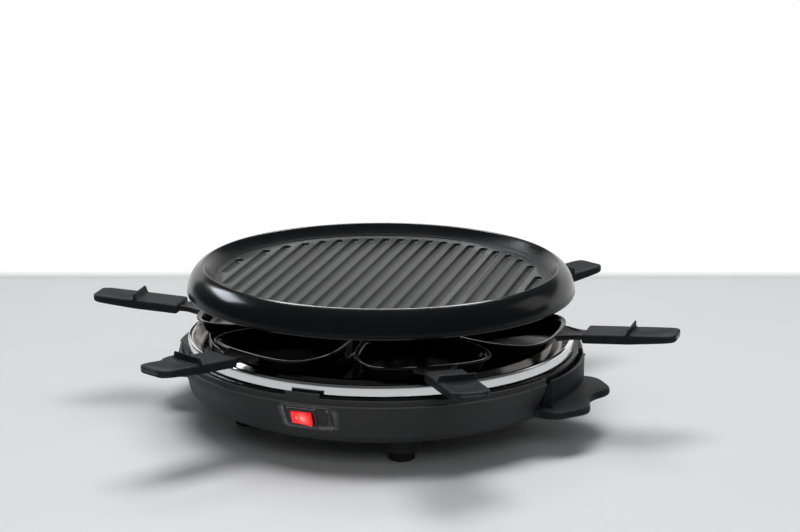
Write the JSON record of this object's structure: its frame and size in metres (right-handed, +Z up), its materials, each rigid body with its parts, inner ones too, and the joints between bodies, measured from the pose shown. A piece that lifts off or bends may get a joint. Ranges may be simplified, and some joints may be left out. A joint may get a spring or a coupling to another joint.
{
  "type": "raclette grill",
  "caption": "Round table-top raclette grill: ribbed grill plate over sliding pans on a bright reflector, in a dark housing with carrying handles and a lit rocker switch.",
  "frame": {"origin": "on the table under the middle of the round housing", "axes": "+Z up; -Y towards the switch; the carrying handles lie on the X axis"},
  "size_m": [0.4658, 0.4276, 0.1241],
  "materials": {
    "housing_plastic": "matte moulded plastic",
    "handle_plastic": "matte heat-proof plastic",
    "dark_ring": "satin heat-proof plastic",
    "mirror_steel": "polished reflector sheet",
    "plate_coating": "satin non-stick coating on cast metal",
    "pan_enamel": "glossy non-stick coating on sheet steel",
    "black_steel": "blackened sheet steel",
    "element_steel": "dull oxidised tube",
    "zinc_steel": "zinc plated",
    "rubber": "soft dull rubber",
    "ceramic": "unglazed ceramic",
    "red_lens": "translucent red, lit from inside",
    "lead_sleeve": "woven glass sleeve"
  },
  "bodies": {
    "base": {"base_housing": "housing_plastic", "base_plate": "housing_plastic", "base_screw_1": "zinc_steel", "base_screw_2": "zinc_steel", "base_screw_3": "zinc_steel", "base_screw_4": "zinc_steel", "carry_handle_left": "handle_plastic", "carry_handle_right": "handle_plastic", "cord_gland": "rubber", "foot_pad_1": "rubber", "foot_pad_2": "rubber", "foot_pad_3": "rubber", "foot_pad_4": "rubber", "heating_element": "element_steel", "inlet_lead": "lead_sleeve", "plate_support_1": "black_steel", "plate_support_2": "black_steel", "plate_support_3": "black_steel", "reflector": "mirror_steel", "support_ring": "dark_ring", "support_rivet_1": "zinc_steel", "support_rivet_2": "zinc_steel", "support_rivet_3": "zinc_steel", "switch_body": "dark_ring", "switch_lead": "lead_sleeve", "switch_panel": "housing_plastic", "terminal_block": "ceramic", "thermal_cutout": "zinc_steel"},
    "plate": {"grill_plate": "plate_coating"},
    "rocker": {"switch_rocker": "red_lens"},
    "pan_1_set": {"pan_1": "pan_enamel", "pan_shank_1": "pan_enamel", "pan_handle_1": "handle_plastic"},
    "pan_2_set": {"pan_2": "pan_enamel", "pan_shank_2": "pan_enamel", "pan_handle_2": "handle_plastic"},
    "pan_3_set": {"pan_3": "pan_enamel", "pan_shank_3": "pan_enamel", "pan_handle_3": "handle_plastic"},
    "pan_4_set": {"pan_4": "pan_enamel", "pan_shank_4": "pan_enamel", "pan_handle_4": "handle_plastic"},
    "pan_5_set": {"pan_5": "pan_enamel", "pan_shank_5": "pan_enamel", "pan_handle_5": "handle_plastic"},
    "pan_6_set": {"pan_6": "pan_enamel", "pan_shank_6": "pan_enamel", "pan_handle_6": "handle_plastic"}
  },
  "joints": [
    {"name": "plate_lift", "type": "slide", "parent": "base", "child": "plate", "axis": [0, 0, 1], "range_m": [0, 0.08]},
    {"name": "rocker_tip", "type": "hinge", "parent": "base", "child": "rocker", "pos_m": [0, -0.15152, 0.04543], "axis": [0, -0.38, 0.925], "range_deg": [0, 14]},
    {"name": "pan_1_pull", "type": "slide", "parent": "base", "child": "pan_1_set", "axis": [0.9965, 0.0837, 0], "range_m": [0, 0.13]},
    {"name": "pan_2_pull", "type": "slide", "parent": "base", "child": "pan_2_set", "axis": [0.4602, 0.8878, 0], "range_m": [0, 0.13]},
    {"name": "pan_3_pull", "type": "slide", "parent": "base", "child": "pan_3_set", "axis": [-0.6032, 0.7976, 0], "range_m": [0, 0.13]},
    {"name": "pan_4_pull", "type": "slide", "parent": "base", "child": "pan_4_set", "axis": [-0.9917, -0.1288, 0], "range_m": [0, 0.13]},
    {"name": "pan_5_pull", "type": "slide", "parent": "base", "child": "pan_5_set", "axis": [-0.4003, -0.9164, 0], "range_m": [0, 0.13]},
    {"name": "pan_6_pull", "type": "slide", "parent": "base", "child": "pan_6_set", "axis": [0.6088, -0.7934, 0], "range_m": [0, 0.13]}
  ]
}
